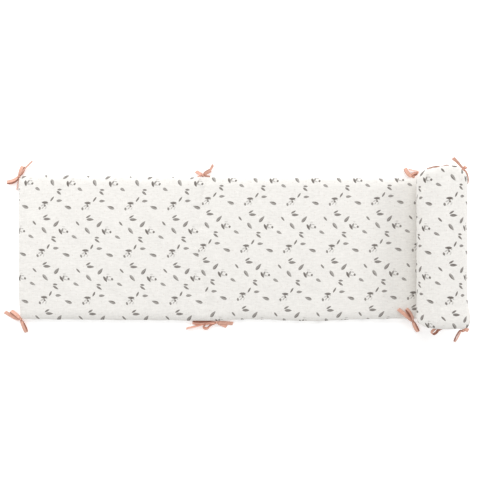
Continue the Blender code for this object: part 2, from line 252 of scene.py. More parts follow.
# The print: one repeat of leaves, two small birds and faint specks, measured on the photograph in mm from the
# first bird, +x to the right and +y up. Marks are x, y, length, width, direction in degrees, ink, how much
# paler one side is, and how much blunter the far end is than the near one.
REPEAT = (119.6, 132.0)
LEAVES = (
    (31.2, -16.1, 16.8, 6.8, -28, 0.87, 0.00, -0.40),
    (67.0, 1.9, 21.6, 8.2, -52, 0.87, 0.25, -0.30),
    (38.7, 22.0, 15.0, 4.8, -49, 1.05, 0.00, -0.10),
    (99.4, 20.9, 21.8, 8.2, 51, 0.97, 0.10, -0.45),
    (67.4, 41.3, 15.0, 4.8, 32, 1.05, 0.00, -0.15),
    (72.9, 33.2, 20.0, 7.2, 0, 1.03, 0.00, -0.20),
    (93.2, -17.1, 12.6, 5.1, -6, 1.03, 0.00, -0.10),
    (93.8, -25.9, 16.8, 5.5, -35, 1.05, 0.00, -0.20),
    (78.5, -43.0, 15.4, 4.8, 62, 1.09, 0.00, 0.00),
    (99.9, -47.6, 16.0, 7.0, 3, 0.92, 0.00, -0.30),
    (7.0, -65.6, 21.0, 8.0, -20, 0.94, -0.20, 0.40),
)
BIRDS = (
    (-8.0, -1.0, 17.8, 6.6, -60, 0.98, 0.10, -0.10),
    (-2.7, 3.2, 11.4, 5.2, 70, 0.77, 0.00, 0.10),
    (0.4, -2.6, 9.2, 4.5, -16, 0.42, 0.00, 0.00),
    (5.0, 6.0, 9.0, 2.9, -12, 0.47, 0.00, 0.00),
    (4.5, -3.8, 9.0, 3.1, -12, 0.32, 0.00, 0.00),
    (0.5, 12.5, 9.0, 3.9, 0, 0.23, 0.00, 0.00),
    (11.0, -1.4, 7.0, 6.0, -80, 0.93, 0.00, 0.00),
    (60.4, -53.0, 18.0, 6.7, -1, 0.95, 0.10, 0.10),
    (67.4, -56.0, 6.5, 3.9, -60, 0.43, 0.00, 0.00),
    (60.2, -57.5, 7.5, 4.7, -85, 0.66, 0.00, 0.00),
    (61.8, -61.8, 6.2, 5.0, -40, 0.95, 0.00, 0.00),
    (54.6, -61.0, 10.6, 4.1, 32, 0.38, 0.00, 0.00),
    (57.4, -67.2, 9.0, 3.3, 54, 0.49, 0.00, 0.00),
    (65.4, -68.0, 9.5, 3.5, 70, 0.29, 0.00, 0.00),
    (48.5, -69.2, 9.0, 6.0, -70, 0.84, 0.00, 0.00),
)
SPECKS = (
    (-8.0, 56.0), (33.5, 56.0), (58.0, 46.5), (8.0, 39.0), (54.0, 34.0), (98.0, 37.5), (90.0, 31.0),
    (26.0, 26.0), (23.0, 10.0), (37.5, 4.0), (92.5, -3.0), (55.0, -6.0), (-5.5, -28.5), (14.5, -33.0),
    (48.5, -32.0), (61.0, -37.0), (64.0, -27.0), (2.0, -45.5), (30.5, -44.0), (98.0, -63.0), (24.5, -67.0),
)
SPECK_SIZE = 3.0

# Where the print lies on each length of the cover, in mm:
#   first: the first bird's place along and across the strip
#   reads: 1, or -1 where the print reads from the back
#   middle: the middle of the length
#   pull: how far the print is pulled along, as coefficients of across, its square, cube and fourth power
#   growth: how that grows along the strip, as coefficients of 1, across and its square
#   raised: how far it is pulled across, as coefficients of along, its square, across, its square and cube
#   twist: and of along times across
#   dark: how dark it is printed
# Along and across are in units of UNIT from the middle of the length. The two front entries are results of
# a least-squares fit to the photograph, and the back ones were set one by one.
UNIT = 200.0
PANELS = {
    "front_left": {
        "first": (8.7, 180.4), "reads": 1, "middle": 251.0, "dark": 1.0,
        "pull": (-5.9, 13.3, 14.2, 3.5), "growth": (1.4, -2.5, -2.1),
        "raised": (-0.8, 1.2, -1.5, 1.1, 1.3), "twist": 0.0,
    },
    "front_right": {
        "first": (-25.7, 193.6), "reads": 1, "middle": 829.0, "dark": 1.0,
        "pull": (12.5, -5.9, 5.5, 6.9), "growth": (-1.2, -0.7, -4.3),
        "raised": (0.9, 1.5, 1.4, -2.9, -2.7), "twist": 0.0,
    },
    "back_left": {
        "first": (40.0, 188.0), "reads": -1, "middle": 251.0, "dark": 1.0,
        "pull": (0.0, 8.0, 0.0, 0.0), "growth": (0.0, 0.0, 0.0),
        "raised": (0.0, 0.0, 0.0, 0.0, 0.0), "twist": 0.0,
    },
    "back_right": {
        "first": (2.1, 188.0), "reads": -1, "middle": 1300.0, "dark": 1.08,
        "pull": (-2.0, 9.0, 0.0, 0.0), "growth": (-5.0, 0.0, 0.0),
        "raised": (0.0, 0.0, -2.0, 0.0, 0.0), "twist": -6.0,
    },
}

# How the marks are drawn, in shares of their size: 1 is a mark's edge, where its ink fades and frays
MARK_POINT = 1.5
MARK_FADE = (1.16, 0.86)
FRAY_SCALE = 0.9
LEAF_FRAY, BIRD_FRAY = 0.9, 1.3
VEIN_SLANT, VEIN_SPACING = -2.6, 21.0
VEIN_DEPTH, VEIN_MEAN = 0.10, 0.90
MIDRIB_REACH, MIDRIB_TONE = (0.03, 0.14), 0.62
WEAR_SCALE, WEAR_RANGE, WORN_TONE = 1.7, (0.30, 0.62), 0.72
SPECK_FADE = (0.25, 0.6)
SPECK_TONE = 0.34

# The gauze. Threads are in radians for each mm and scales for each mm. A tone maps a range to a brightness.
WARP, WEFT = 9.2, 8.6
THREAD_WANDER, THREAD_SHIFT = 0.16, 3.0
SLUB_SCALES = ((0.035, 0.62), (0.62, 0.035))
CRINKLE_SCALES = (0.075, 0.20)
CRINKLE_DETAIL, CRINKLE_ROUGHNESS = 3.0, 0.6
SLUB_TONE = (0.70, 1.30, 0.955, 1.03)
CRINKLE_TONE = (0.30, 0.70, 0.945, 1.045)
WEAVE_TONE = (-1.0, 1.0, 0.965, 1.02)
# Darker within 1.2 mm of an outer sewn edge: its stitching, and painted shade in the crease where the faces
# meet
SEAM_STITCH_AND_SHADE_TONE = (0.0, 0.0012, 0.93, 1.0)
WEAVE_HEIGHT, SLUB_HEIGHT, CRINKLE_HEIGHT = 0.05, 0.16, 0.75

# The ribbon, in the same units
RIBS, THREADS = 12.0, 15.0
FIRM_EDGE = (3.9, 4.6)
PATCH_SCALE = 0.12
PATCH_TONE = (0.3, 0.7, 0.87, 1.08)
RIB_TONE = (-1.0, 1.0, 0.95, 1.03)
FIRM_EDGE_TONE = (0.0, 1.0, 1.0, 0.84)
RIB_HEIGHT, THREAD_HEIGHT, FIRM_EDGE_HEIGHT = 0.06, 0.02, 0.10
# Painted shade: how far the ribbon's colour goes towards its shade colour in pleats, at the knot and inside
# loops
PAINTED_SHADE_SHARE = 0.8

BUMP_STRENGTH = 0.6

# Colours, linear
CLOTH = (0.868, 0.848, 0.812)
INK = (0.095, 0.076, 0.064)
SPECK = (0.62, 0.50, 0.43)
SALMON = (0.820, 0.462, 0.355)
# The ribbon's painted shade colour, for its pleats, its knot and the insides of its loops
SALMON_PAINTED_SHADE = (0.400, 0.155, 0.095)
WHITE = (1.0, 1.0, 1.0, 1.0)

# Values that are the same all over a surface, for the shader's own sockets
GAUZE_FINISH = {"Roughness": 0.92, "Specular IOR Level": 0.18, "Sheen Weight": 0.12, "Sheen Roughness": 0.5}
RIBBON_FINISH = {"Roughness": 0.55, "Specular IOR Level": 0.35, "Sheen Weight": 0.15, "Sheen Roughness": 0.4}
FLOOR_FINISH = {
    "Base Color": (0.95, 0.95, 0.95, 1.0),
    "Roughness": 0.9,
    "Specular IOR Level": 0.1,
    "Emission Color": WHITE,
    "Emission Strength": 0.28,
}

# Floor, light and camera. Lights: name, place, what it is aimed at, size, power in watts.
FLOOR_HALF = 6.0
FLOOR_DROP = 0.0006
WORLD_LIGHT = 0.71
LIGHTS = (
    ("window", (0.0, 4.0, 3.0), (0.0, 0.0, 0.0), 3.0, 77.0),
    ("left", (-1.6, 1.2, 1.3), (-0.3, 0.0, 0.0), 1.0, 11.0),
    ("right", (2.4, 1.1, 1.8), (0.0, 0.0, 0.0), 1.0, 15.5),
)
CAMERA_PLACE = (0.0, 0.0025, 1.934)
LENS, SENSOR_WIDTH = 50.0, 36.0


# Small helpers


def eased(share):
    """0 to 1 with a soft start and end."""
    share = min(max(share, 0.0), 1.0)
    return share * share * (3.0 - 2.0 * share)


def read_table(rows, where, column):
    """Value of a column between two rows of a table, eased from row to row."""
    for row, after in zip(rows, rows[1:]):
        if where <= after[0]:
            share = eased((where - row[0]) / (after[0] - row[0]))
            return row[column] + (after[column] - row[column]) * share
    return rows[-1][column]


def waves(where, table):
    """Sum of waves at a place."""
    return sum(height * math.sin(math.tau * where / length + phase) for length, height, phase in table)


def peaked(distance, reach):
    """0 on a sewn line, 1 at reach from it, and dying away beyond."""
    return distance / reach * math.exp(1.0 - distance / reach)


def filled(places, step):
    """Places in order, with more between them so that no step is longer than step."""
    places = sorted(places)
    every = [places[0]]
    for place_before, place_after in zip(places, places[1:]):
        count = max(math.ceil((place_after - place_before) / step - NEARLY), 1)
        for index in range(1, count + 1):
            every.append(place_before + (place_after - place_before) * index / count)
    return every


def new_object(name, points, faces, materials):
    """A smooth mesh in the scene."""
    mesh = bpy.data.meshes.new(name)
    mesh.from_pydata([tuple(point) for point in points], [], faces)
    for material in materials:
        mesh.materials.append(material)
    mesh.shade_smooth()
    made = bpy.data.objects.new(name, mesh)
    bpy.context.scene.collection.objects.link(made)
    return made


def add_map(mesh, name, places):
    """A UV map with one place for each face corner."""
    layer = mesh.uv_layers.new(name=name, do_init=False)
    layer.uv.foreach_set("vector", np.asarray(places, np.float32).ravel())


def add_values(mesh, name, values):
    """A named number for each point, for the materials."""
    layer = mesh.attributes.new(name, "FLOAT", "POINT")
    layer.data.foreach_set("value", np.asarray(values, np.float32))


# The strip's path and section


def turn_at(run):
    """Angle that the strip has turned through at a distance along it, 0 where it lies flat."""
    beyond = max(run - FLAT_RUN, 0.0)
    inner = math.sqrt(MIDDLE_RADIUS**2 - PITCH * beyond / math.pi)
    return (MIDDLE_RADIUS - inner) * math.tau / PITCH


def outer_length(run):
    """Distance along the back face, which lies outside in the roll and is not shortened by the bend."""
    turn = turn_at(run)
    return min(run, FLAT_RUN) + ROLL_RADIUS * turn - PITCH * turn * turn / (2 * math.tau)


def flare(turn, side_place):
    """How far the outer turn stands out near its lower end, most at its right side."""
    around = max(math.sin(turn), 0.0) ** 2 if turn < math.pi else 0.0
    return FLARE * around * eased((side_place - FLARE_FROM) / (FLARE_TO - FLARE_FROM))


def place(run, side_place, lift):
    """Point at a distance along the strip, a place across it and a height above its back face."""
    turn = turn_at(run)
    if turn == 0.0:
        return Vector((FLAT_LEFT + run, side_place, max(lift, 0.0)))
    radius = ROLL_RADIUS - PITCH * turn / math.tau - lift + flare(turn, side_place)
    height = ROLL_RADIUS - radius * math.cos(turn)
    return Vector((CONTACT + radius * math.sin(turn), side_place, max(height, 0.0)))


def half_width(run, side):
    """Distance of a long sewn edge from the middle, drawn in round the corners."""
    width = read_table(EDGES, run, 1 if side > 0 else 2)
    from_end = min(run, PAD_LENGTH - run)
    if from_end < CORNER:
        short = 1.0 - from_end / CORNER
        width -= CORNER * (1.0 - math.sqrt(1.0 - short * short))
    return width + waves(run + WANDER_SHIFT * side, EDGE_WANDER)


def blend(flat_value, roll_value, run):
    """Between the flat stretch's value and the roll's, changing where the roll weighs on the strip."""
    share = eased((run - SQUEEZE_FROM) / (SQUEEZE_TO - SQUEEZE_FROM))
    return flat_value + (roll_value - flat_value) * share


def bow(across):
    """How far the cross seam lies right of its leftmost point; across is -1 to 1."""
    if across > 0:
        return UPPER_BOW * across**UPPER_BOW_POWER
    return LOWER_BOW * eased(-across)


def bulge(distance, rounding):
    """Share of the full height at a distance from a sewn edge: a quarter of an ellipse."""
    short = 1.0 - min(distance / rounding, 1.0)
    return math.sqrt(1.0 - short * short)


def relief(face, run, side_place, from_edge):
    """Height of the cover's fine shapes on a face (1 the top, -1 the back), out of the pad."""
    turn = turn_at(run)
    from_end = min(run, PAD_LENGTH - run)
    from_seam = abs(run - CROSS_SEAM)
    side = 1 if side_place > 0 else -1
    rolled = eased(turn / LOSS_TURN)
    if face > 0:
        free = 1.0 - INSIDE_LOSS * rolled
    else:
        free = RESTING_SHARE + (1.0 - RESTING_SHARE) * rolled * eased((COVERED_TURN - turn) / LOSS_TURN)
    lumps = waves(run + LUMP_SLANT * side_place, LUMPS_ALONG) * (LUMP_MEAN + waves(side_place, LUMPS_ACROSS))
    lumps *= eased(from_edge / CALM_REACH) * eased(from_end / CALM_REACH) * eased(from_seam / CALM_REACH)
    on_side = waves(run + PUCKER_SIDE_SHIFT * side + PUCKER_FACE_SHIFT * face, PUCKERS)
    on_end = waves(side_place + PUCKER_END_SHIFT * face, PUCKERS)
    on_seam = waves(side_place - PUCKER_SEAM_SHIFT * face, PUCKERS)
    gathers = peaked(from_edge, PUCKER_REACH) * on_side
    gathers += peaked(from_end, PUCKER_REACH) * on_end
    gathers += peaked(from_seam, PUCKER_REACH) * on_seam * CROSS_SEAM_PUCKERS
    dent = 0.0
    if face < 0:
        dent = DENT_DEPTH * math.exp(-(((turn - DENT_TURN) / DENT_WIDTH) ** 2))
        along_crease = eased((turn - CREASE_FROM) / CREASE_FADE) * eased((CREASE_TO - turn) / CREASE_FADE)
        across_crease = math.exp(-(((side_place - CREASE_PLACE) / CREASE_WIDTH) ** 2))
        dent += CREASE_DEPTH * along_crease * across_crease
    return free * (lumps + gathers) - dent


def section(run, side_place, across, from_edge):
    """The back and the top of the pad, and how far along the strip the cloth lies there."""
    from_end = min(run, PAD_LENGTH - run)
    back_rounding = blend(FLAT_BACK_ROUNDING, ROLL_BACK_ROUNDING, run)
    full = blend(FLAT_THICKNESS, ROLL_THICKNESS, run) * (1.0 - CROWN * across**2)
    full += blend(PUFF, 0.0, run) * math.sin(run / PUFF_ALONG) * math.cos(side_place / PUFF_ACROSS)
    full -= TROUGH_DEPTH * math.exp(-abs(run - CROSS_SEAM) / TROUGH_REACH)
    top_share = bulge(from_edge, TOP_ROUNDING) * bulge(from_end, TOP_ROUNDING)
    back_share = bulge(from_edge, back_rounding) * bulge(from_end, back_rounding)
    near = max(1.0 - abs(run - CROSS_SEAM) / BOW_REACH, 0.0)
    slant = eased((side_place - SLANT_FROM) / (SLANT_TO - SLANT_FROM))
    slant *= eased(1.0 - run / SLANT_REACH)
    shifted = run + bow(across) * eased(near) + CORNER_SLANT * slant
    back_lift = SEAM_LIFT * (1.0 - back_share) - relief(-1, run, side_place, from_edge)
    top_lift = SEAM_LIFT + (full - SEAM_LIFT) * top_share + relief(1, run, side_place, from_edge)
    return place(shifted, side_place, back_lift), place(shifted, side_place, top_lift), shifted


def edge_point(run, side):
    """Point on a long sewn edge."""
    return section(run, side * half_width(run, side), side, 0.0)[0]


# The cover


def cover_stations():
    """Distances along the strip at which its section is drawn."""
    keys = {*EDGE_STEPS, *(PAD_LENGTH - step for step in EDGE_STEPS), CROSS_SEAM}
    keys |= {CROSS_SEAM + sign * step for step in SEAM_STEPS for sign in (-1, 1)}
    keys |= {SHEET_ROW / 2, SHEET_ROW}
    return filled(keys, ALONG_STEP)


def cover_columns(run):
    """For each place across the strip from its upper edge to its lower one: place, share, from the edge."""
    columns = []
    count = math.ceil((USUAL_HALF_WIDTH - EDGE_STEPS[-1]) / ACROSS_STEP)
    for side in (1, -1):
        width = half_width(run, side)
        inner = [EDGE_STEPS[-1] + (width - EDGE_STEPS[-1]) * index / count for index in range(1, count + 1)]
        distances = [*EDGE_STEPS, *inner]
        if side < 0:
            distances = distances[-2::-1]
        columns += [(side * (width - far), side * (width - far) / width, far) for far in distances]
    return columns


def cover_rows(stations):
    """The cover's points in rows across it, for its top and its back, which share the sewn line all round."""
    points, cloth, runs, seam_distance, top_rows, back_rows = [], [], [], [], [], []
    for run in stations:
        top_row, back_row = [], []
        columns = cover_columns(run)
        for index, (side_place, share, from_edge) in enumerate(columns):
            under, over, shifted = section(run, side_place, share, from_edge)
            sheets = [(top_row, over, shifted)]
            sewn = run in (stations[0], stations[-1]) or index in (0, len(columns) - 1)
            if not sewn:
                sheets.append((back_row, under, outer_length(shifted)))
            for row, point, along in sheets:
                row.append(len(points))
                points.append(point)
                cloth.append((along, side_place))
                runs.append(run)
                seam_distance.append(min(from_edge, run, PAD_LENGTH - run))
            if sewn:
                back_row.append(top_row[-1])
        top_rows.append(top_row)
        back_rows.append(back_row)
    return points, cloth, runs, seam_distance, top_rows, back_rows


def bake_place(run, side_place, start, back):
    """Place of a point on the map for baking; its face starts at a distance along the top or the back."""
    row, began = divmod(start + PAD_LENGTH * back + NEARLY, SHEET_ROW)
    along = began + run - start
    return (
        SHEET_MARGIN + (1.0 - 2 * SHEET_MARGIN) * along / SHEET_ROW,
        (row + 0.5 + side_place / SHEET_ROW_WIDTH) / SHEET_ROWS,
    )


def build_cover(materials):
    """The closed printed cover, with a material for each length of its top and its back."""
    stations = cover_stations()
    points, cloth, runs, seam_distance, top_rows, back_rows = cover_rows(stations)
    faces, slots, cloth_places, bake_places = [], [], [], []
    for number, start in enumerate(stations[:-1]):
        right = start >= CROSS_SEAM - NEARLY
        for rows, back in ((top_rows, False), (back_rows, True)):
            row, after = rows[number], rows[number + 1]
            for index in range(len(row) - 1):
                corners = (row[index], row[index + 1], after[index + 1], after[index])
                if back:
                    corners = tuple(reversed(corners))
                faces.append(corners)
                slots.append(2 * back + right)
                cloth_places += [cloth[point] for point in corners]
                bake_places += [bake_place(runs[point], cloth[point][1], start, back) for point in corners]
    made = new_object("cover", points, faces, materials)
    made.data.polygons.foreach_set("material_index", slots)
    add_map(made.data, "Cloth", cloth_places)
    add_map(made.data, "OFBake", bake_places)
    add_values(made.data, "seam_distance", seam_distance)
    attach(made, "root")
    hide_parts("bumper")


# The ribbon ties


def curve_point(spots, share):
    """Point on a smooth curve through spots, at a share of the way from the first to the last."""
    spots = [spots[0] * 2 - spots[1], *spots, spots[-1] * 2 - spots[-2]]
    here = min(int(share * (len(spots) - 3)), len(spots) - 4)
    before, start, end, beyond = spots[here : here + 4]
    part = share * (len(spots) - 3) - here
    return (
        start * 2
        + (end - before) * part
        + (before * 2 - start * 5 + end * 4 - beyond) * part**2
        + (start * 3 - before - end * 3 + beyond) * part**3
    ) / 2


def loop_line(centre, gape, tilt, bends):
    """Points of a loop that leaves the knot and comes back to it, and its width directions."""
    spots = [centre, *(centre + Vector(bend) * MM for bend in bends)]
    points, across = [], []
    for index in range(LOOP_STEPS + 1):
        share = index / LOOP_STEPS
        out = math.sin(math.pi * share)
        further, nearer = min(out + LOOP_AHEAD, 1.0), max(out - LOOP_AHEAD, 0.0)
        forward = curve_point(spots, further) - curve_point(spots, nearer)
        forward = Vector((forward.x, forward.y, 0.0)).normalized()
        beside = Vector((-forward.y, forward.x, 0.0))
        open_way = Vector((0, 0, math.cos(tilt))) + beside * math.sin(tilt)
        apart = gape * (math.sin(math.tau * share) / 2 + LOOP_PARTED * (0.5 - share))
        points.append(curve_point(spots, out) + open_way * apart)
        across.append(forward.cross(open_way))
    return points, across


def tail_line(centre, bends):
    """Points of a tail through its bends and its width directions."""
    spots = [centre + Vector(bend[:3]) * MM for bend in bends]
    leans = [math.radians(bend[3]) for bend in bends]
    last = len(spots) - 1
    points = [curve_point(spots, index / (TAIL_STEPS * last)) for index in range(TAIL_STEPS * last + 1)]
    across = []
    for index in range(len(points)):
        here, step = divmod(index, TAIL_STEPS)
        lean = leans[here]
        if step:
            lean += (leans[here + 1] - lean) * eased(step / TAIL_STEPS)
        ahead = points[min(index + 1, len(points) - 1)] - points[max(index - 1, 0)]
        level = Vector((-ahead.y, ahead.x, 0.0)).normalized()
        across.append(level * math.cos(lean) + Vector((0, 0, math.sin(lean))))
    return points, across


def tape_ring(point, ahead, side, width, pleat, cup, cut):
    """Corners round the tape's section at a point: one face from edge to edge, then the other back."""
    up = side.cross(ahead).normalized()
    ring = []
    for sheet_side in (1, -1):
        for column in TAPE_COLUMNS if sheet_side > 0 else reversed(TAPE_COLUMNS):
            lift = pleat * math.cos(PLEAT_TURNS * math.pi * column) + cup * (column * column - CUP_MEAN)
            lift += sheet_side * (TAPE_THICKNESS / 2 * (1.0 if abs(column) < 1.0 else THIN_EDGE))
            ring.append(point + side * width * column + up * lift + ahead * cut * column)
    raised = Vector((0, 0, max(CLEARANCE - min(corner.z for corner in ring), 0.0)))
    return [corner + raised for corner in ring]


class Tape:
    """Collects the strips and the knot of one tie into one mesh."""

    def __init__(self):
        self.points, self.faces, self.places, self.darkened, self.length = [], [], [], [], 0.0

    def add_strip(self, points, across, both_ends, seed, inside=0.0):
        """A strip of tape, its width along across, pleated where it enters the knot, with painted shade there
        and on its inside.
        """
        runs = [0.0]
        for point, after in zip(points, points[1:]):
            runs.append(runs[-1] + (after - point).length)
        whole = runs[-1]
        first = len(self.points)
        for index, point in enumerate(points):
            ahead = points[min(index + 1, len(points) - 1)] - points[max(index - 1, 0)]
            ahead.normalize()
            side = (across[index] - ahead * across[index].dot(ahead)).normalized()
            from_knot = min(runs[index], whole - runs[index]) if both_ends else runs[index]
            open_share = eased(from_knot / GATHER_REACH)
            width = TAPE_WIDTH / 2 * (GATHERED + (1.0 - GATHERED) * open_share)
            pleat = PLEAT * (1.0 - open_share)
            cup = CUP * math.sin(runs[index] / CUP_LENGTH + seed)
            cut = 0.0 if both_ends else CUT_SLANT * eased((runs[index] - whole + CUT_REACH) / CUT_REACH)
            self.points += tape_ring(point, ahead, side, width, pleat, cup, cut)
            # Painted shade: strongest where the tape is gathered into the knot, and at least inside on the
            # inner face
            self.darkened += [1.0 - open_share] * len(TAPE_COLUMNS)
            self.darkened += [max(1.0 - open_share, inside)] * len(TAPE_COLUMNS)
        self.join_rings(first, runs)
        self.length += whole

    def join_rings(self, first, runs):
        """Faces along a strip and over its two ends; its rings start at the point numbered first."""
        around = [*TAPE_COLUMNS, *reversed(TAPE_COLUMNS)]
        count = len(around)
        for index in range(len(runs) - 1):
            for column in range(count):
                other = (column + 1) % count
                corners = ((index, column), (index, other), (index + 1, other), (index + 1, column))
                self.faces.append(tuple(first + ring * count + at for ring, at in corners))
                for ring, at in corners:
                    self.places.append((self.length + runs[ring], around[at] * TAPE_WIDTH / 2))
        for index, flip in ((0, True), (len(runs) - 1, False)):
            start = first + index * count
            for column in range(len(TAPE_COLUMNS) - 1):
                facing = count - 1 - column
                corners = (start + column, start + column + 1, start + facing - 1, start + facing)
                self.faces.append(tuple(reversed(corners)) if flip else corners)
                self.places += [(self.length + runs[index], 0.0)] * 4

    def add_knot(self, centre, axis):
        """The tape wrapped round the middle: a barrel with the folds of the tape running round it, and
        painted shade at its ends.
        """
        level = Vector((-axis.y, axis.x, 0.0)).normalized()
        up = Vector((0, 0, 1))
        first = len(self.points)
        for row in range(1, KNOT_ROWS):
            share = -math.cos(math.pi * row / KNOT_ROWS)
            for step in range(KNOT_STEPS):
                angle = math.tau * step / KNOT_STEPS
                girth = (1.0 - abs(share) ** KNOT_FLATNESS) ** KNOT_ROUNDNESS
                slant = KNOT_FOLD_SLANT * math.sin(angle + KNOT_FOLD_TURN)
                girth *= 1.0 + KNOT_FOLD * math.cos(KNOT_FOLDS * math.pi * share + slant)
                offset = level * KNOT_WIDE * math.cos(angle) + up * KNOT_HIGH * math.sin(angle)
                skew = KNOT_SKEW * math.sin(2 * angle + KNOT_SKEW_TURN)
                along = share * KNOT_HALF_LENGTH * (1.0 + skew)
                self.points.append(centre + axis * along + offset * girth)
                # Painted shade, growing from the knot's middle to its ends
                self.darkened.append(abs(share))
        ends = (len(self.points), len(self.points) + 1)
        self.points += [centre - axis * KNOT_HALF_LENGTH, centre + axis * KNOT_HALF_LENGTH]
        # The end points get the full painted shade
        self.darkened += [1.0, 1.0]
        rounds = math.tau * KNOT_WIDE
        for row in range(KNOT_ROWS - 2):
            start, after = first + row * KNOT_STEPS, first + (row + 1) * KNOT_STEPS
            for step in range(KNOT_STEPS):
                other = (step + 1) % KNOT_STEPS
                self.faces.append((start + step, after + step, after + other, start + other))
                for along, across_at in ((step, row), (step, row + 1), (step + 1, row + 1), (step + 1, row)):
                    across_tape = (across_at + 1) / KNOT_ROWS - 0.5
                    self.places.append((self.length + rounds * along / KNOT_STEPS, across_tape * TAPE_WIDTH))
        last = first + (KNOT_ROWS - 2) * KNOT_STEPS
        for end, start, flip in ((ends[0], first, False), (ends[1], last, True)):
            for step in range(KNOT_STEPS):
                corners = (end, start + step, start + (step + 1) % KNOT_STEPS)
                self.faces.append(tuple(reversed(corners)) if flip else corners)
                self.places += [(self.length, 0.0)] * 3
        self.length += rounds


def build_tie(name, run, side, bearing, material):
    """One tie: the tape's root at the sewn edge, the knot, its loops and its tails, in one piece."""
    root = edge_point(run, side)
    bearing = math.radians(bearing)
    outward = Vector((math.cos(bearing), math.sin(bearing), 0.0))
    centre = root + outward * KNOT_REACH
    turn = turn_at(run)
    along_edge = outward.cross(Vector((-math.sin(turn), 0.0, math.cos(turn))))
    tape = Tape()
    tape.add_strip([root + outward * CLEARANCE, root.lerp(centre, 0.5), centre], [along_edge] * 3, False, 0.0)
    axis = None
    for tie, gape, tilt, *bends in LOOPS:
        if tie == name:
            axis = axis or Vector((bends[0][0], bends[0][1], 0.0)).normalized()
            points, across = loop_line(centre, gape * MM, math.radians(tilt), bends)
            tape.add_strip(points, across, True, tilt, LOOP_INSIDE_SHADE)
    for tie, *bends in TAILS:
        if tie == name:
            points, across = tail_line(centre, bends)
            closed = bends[-1][:3] == (0, 0, 0)
            tape.add_strip(points, across, closed, bends[-1][0], CLOSED_TAIL_INSIDE_SHADE if closed else 0.0)
    tape.add_knot(centre, axis)
    made = new_object(name.replace("tie", "bow"), tape.points, tape.faces, [material])
    add_map(made.data, "Cloth", tape.places)
    # The painted shade of each point, for the ribbon's material
    add_values(made.data, "darkened", tape.darkened)
    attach(made, "root")
    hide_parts(name)


# Materials


class Nodes:
    """Adds nodes to a tree. Inputs are given by name or number, as a value or as the output to link."""

    def __init__(self, tree):
        self.tree = tree

    def add(self, kind, inputs=(), **settings):
        node = self.tree.nodes.new(kind)
        for key, value in settings.items():
            setattr(node, key, value)
        for key, value in dict(inputs).items():
            if isinstance(value, bpy.types.NodeSocket):
                self.tree.links.new(value, node.inputs[key])
            else:
                node.inputs[key].default_value = value
        return node

    def math(self, operation, *values, clamp=False):
        node = self.add("ShaderNodeMath", dict(enumerate(values)), operation=operation, use_clamp=clamp)
        return node.outputs[0]

    def vector(self, operation, *values):
        return self.add("ShaderNodeVectorMath", dict(enumerate(values)), operation=operation).outputs[0]

    def polynomial(self, value, coefficients):
        """Sum of coefficients times the powers of value, from its power 0 on."""
        total = coefficients[-1]
        for coefficient in reversed(coefficients[:-1]):
            total = self.math("MULTIPLY_ADD", total, value, coefficient)
        return total

    def mapped(self, value, low, high, to_low, to_high, smooth=False):
        inputs = {"Value": value, "From Min": low, "From Max": high, "To Min": to_low, "To Max": to_high}
        kind = "SMOOTHSTEP" if smooth else "LINEAR"
        return self.add("ShaderNodeMapRange", inputs, interpolation_type=kind, clamp=True).outputs[0]

    def noise(self, place_at, scale, detail=2.0, roughness=0.5):
        inputs = {"Vector": place_at, "Scale": scale, "Detail": detail, "Roughness": roughness}
        return self.add("ShaderNodeTexNoise", inputs).outputs["Fac"]

    def mix(self, share, first, second):
        return self.add("ShaderNodeMix", {0: share, 6: first, 7: second}, data_type="RGBA").outputs[2]

    def scaled(self, colour, tone):
        inputs = {0: colour, "Scale": tone}
        return self.add("ShaderNodeVectorMath", inputs, operation="SCALE").outputs[0]

    def from_mark(self, where, centre):
        """Way from the nearest repeat of a mark's centre to a place."""
        high = (REPEAT[0] / 2, REPEAT[1] / 2, 1.0)
        low = tuple(-value for value in high)
        return self.vector("WRAP", self.vector("SUBTRACT", where, centre), high, low)

    def cloth_place(self):
        """Place on the cloth in mm, and its parts along and across."""
        spot = self.add("ShaderNodeUVMap", uv_map="Cloth").outputs[0]
        cloth = self.vector("MULTIPLY", spot, (1000.0, 1000.0, 1.0))
        split = self.add("ShaderNodeSeparateXYZ", {0: cloth})
        return cloth, split.outputs[0], split.outputs[1]


def new_group(name, inputs, outputs):
    """A node group with (name, kind) inputs and outputs, and its helper, input node and output node."""
    group = bpy.data.node_groups.new(name, "ShaderNodeTree")
    for way, sockets in (("INPUT", inputs), ("OUTPUT", outputs)):
        for socket_name, kind in sockets:
            group.interface.new_socket(socket_name, in_out=way, socket_type=kind)
    nodes = Nodes(group)
    return group, nodes, nodes.add("NodeGroupInput"), nodes.add("NodeGroupOutput")


def new_material(name, finish):
    """A material with its constant values set, its node helper and its shader."""
    made = bpy.data.materials.new(name)
    made.use_nodes = True
    shader = made.node_tree.nodes["Principled BSDF"]
    for socket, value in finish.items():
        shader.inputs[socket].default_value = value
    return made, Nodes(made.node_tree), shader


def link_surface(nodes, shader, colour, height):
    """Gives a shader its colour and its fine relief, whose height is in mm."""
    bump = nodes.add("ShaderNodeBump", {"Strength": BUMP_STRENGTH, "Distance": MM, "Height": height})
    nodes.tree.links.new(colour, shader.inputs["Base Color"])
    nodes.tree.links.new(bump.outputs[0], shader.inputs["Normal"])


